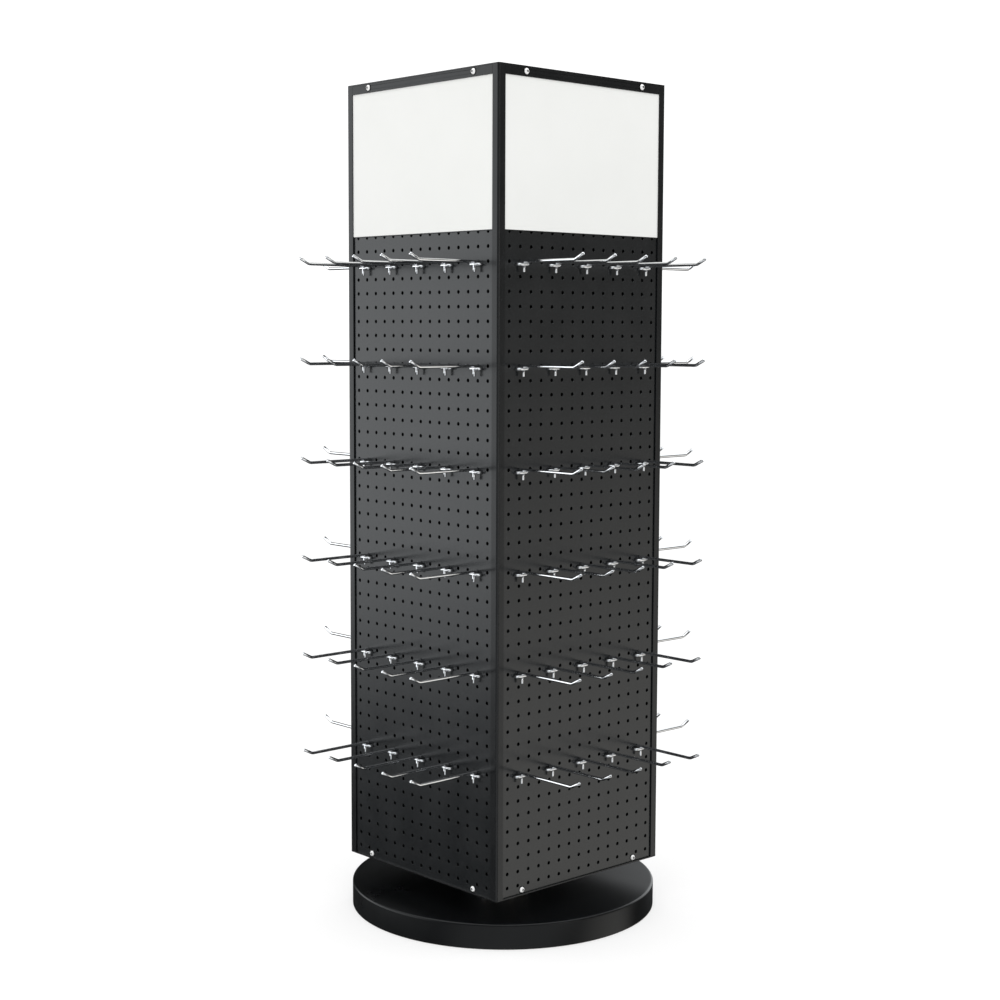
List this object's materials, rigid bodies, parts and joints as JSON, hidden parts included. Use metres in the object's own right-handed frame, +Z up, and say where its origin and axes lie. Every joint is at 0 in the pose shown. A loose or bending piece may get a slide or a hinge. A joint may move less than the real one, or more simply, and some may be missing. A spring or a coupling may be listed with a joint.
{
  "type": "rotating display rack",
  "caption": "Four-sided pegboard display tower with white header panels and wire hooks, turning on a round weighted floor base.",
  "frame": {"origin": "on the floor under the centre of the base, on the tower's axis of rotation", "axes": "+Z up along the axis of rotation; -Y out of the front panel and +X out of the right panel"},
  "size_m": [0.7122, 0.7122, 1.527],
  "materials": {
    "frame_black": "satin charcoal-black powder coat on folded and extruded metal",
    "pegboard_black": "fine-textured matt black powder coat on sheet steel",
    "base_black": "satin black enamel with a soft sheen",
    "turntable_grey": "dark grey painted steel",
    "fibreboard": "unfinished medium-density fibreboard",
    "plain_steel": "plain drawn or rolled steel with a light oil film",
    "zinc_steel": "bright zinc plate",
    "bearing_steel": "ground and polished bearing steel",
    "brass": "stamped sheet brass",
    "nylon": "natural nylon",
    "rubber": "matt black moulded rubber",
    "header_white": "satin white plastic sheet",
    "black_screws": "black oxide",
    "bright_screws": "bright nickel plate",
    "washer_black": "black moulded nylon",
    "liner_black": "matt black hardboard sheet",
    "hook_chrome": "bright chrome plate on drawn wire"
  },
  "bodies": {
    "base": {"base_cover": "base_black", "base_core": "fibreboard", "ballast_plate": "plain_steel", "base_feet": "rubber", "pedestal": "turntable_grey", "pedestal_bolts": "zinc_steel", "pedestal_nuts": "zinc_steel", "mast": "plain_steel", "mast_collar": "turntable_grey", "lower_race": "bearing_steel"},
    "cage": {"ball_cage": "brass", "bearing_balls": "bearing_steel"},
    "tower": {"upper_race": "bearing_steel", "turntable_hub": "turntable_grey", "hub_bolts": "zinc_steel", "hub_nuts": "zinc_steel", "lower_bush": "nylon", "bottom_plate": "frame_black", "bottom_angles": "frame_black", "post_front_left": "frame_black", "post_front_right": "frame_black", "post_back_right": "frame_black", "post_back_left": "frame_black", "panel_front": "pegboard_black", "panel_right": "pegboard_black", "panel_back": "pegboard_black", "panel_left": "pegboard_black", "header_front": "header_white", "header_right": "header_white", "header_back": "header_white", "header_left": "header_white", "header_ledges": "frame_black", "top_rail_front": "frame_black", "top_rail_right": "frame_black", "top_rail_back": "frame_black", "top_rail_left": "frame_black", "top_angles": "frame_black", "top_plate": "frame_black", "inner_liner": "liner_black", "top_hub": "turntable_grey", "upper_bush": "nylon", "top_hub_screws": "black_screws", "post_screws": "black_screws", "band_screws": "bright_screws", "panel_screws": "bright_screws", "screw_washers": "washer_black", "hooks_front": "hook_chrome", "hooks_right": "hook_chrome", "hooks_back": "hook_chrome", "hooks_left": "hook_chrome"}
  },
  "joints": [
    {"name": "tower_spin", "type": "hinge", "parent": "base", "child": "tower", "pos_m": [0, 0, 0.0705], "axis": [0, 0, 1], "continuous": true},
    {"name": "cage_spin", "type": "hinge", "parent": "base", "child": "cage", "pos_m": [0, 0, 0.0705], "axis": [0, 0, 1], "continuous": true}
  ],
  "couplings": [
    {"joint": "cage_spin", "follows": "tower_spin", "ratio": 0.5}
  ]
}
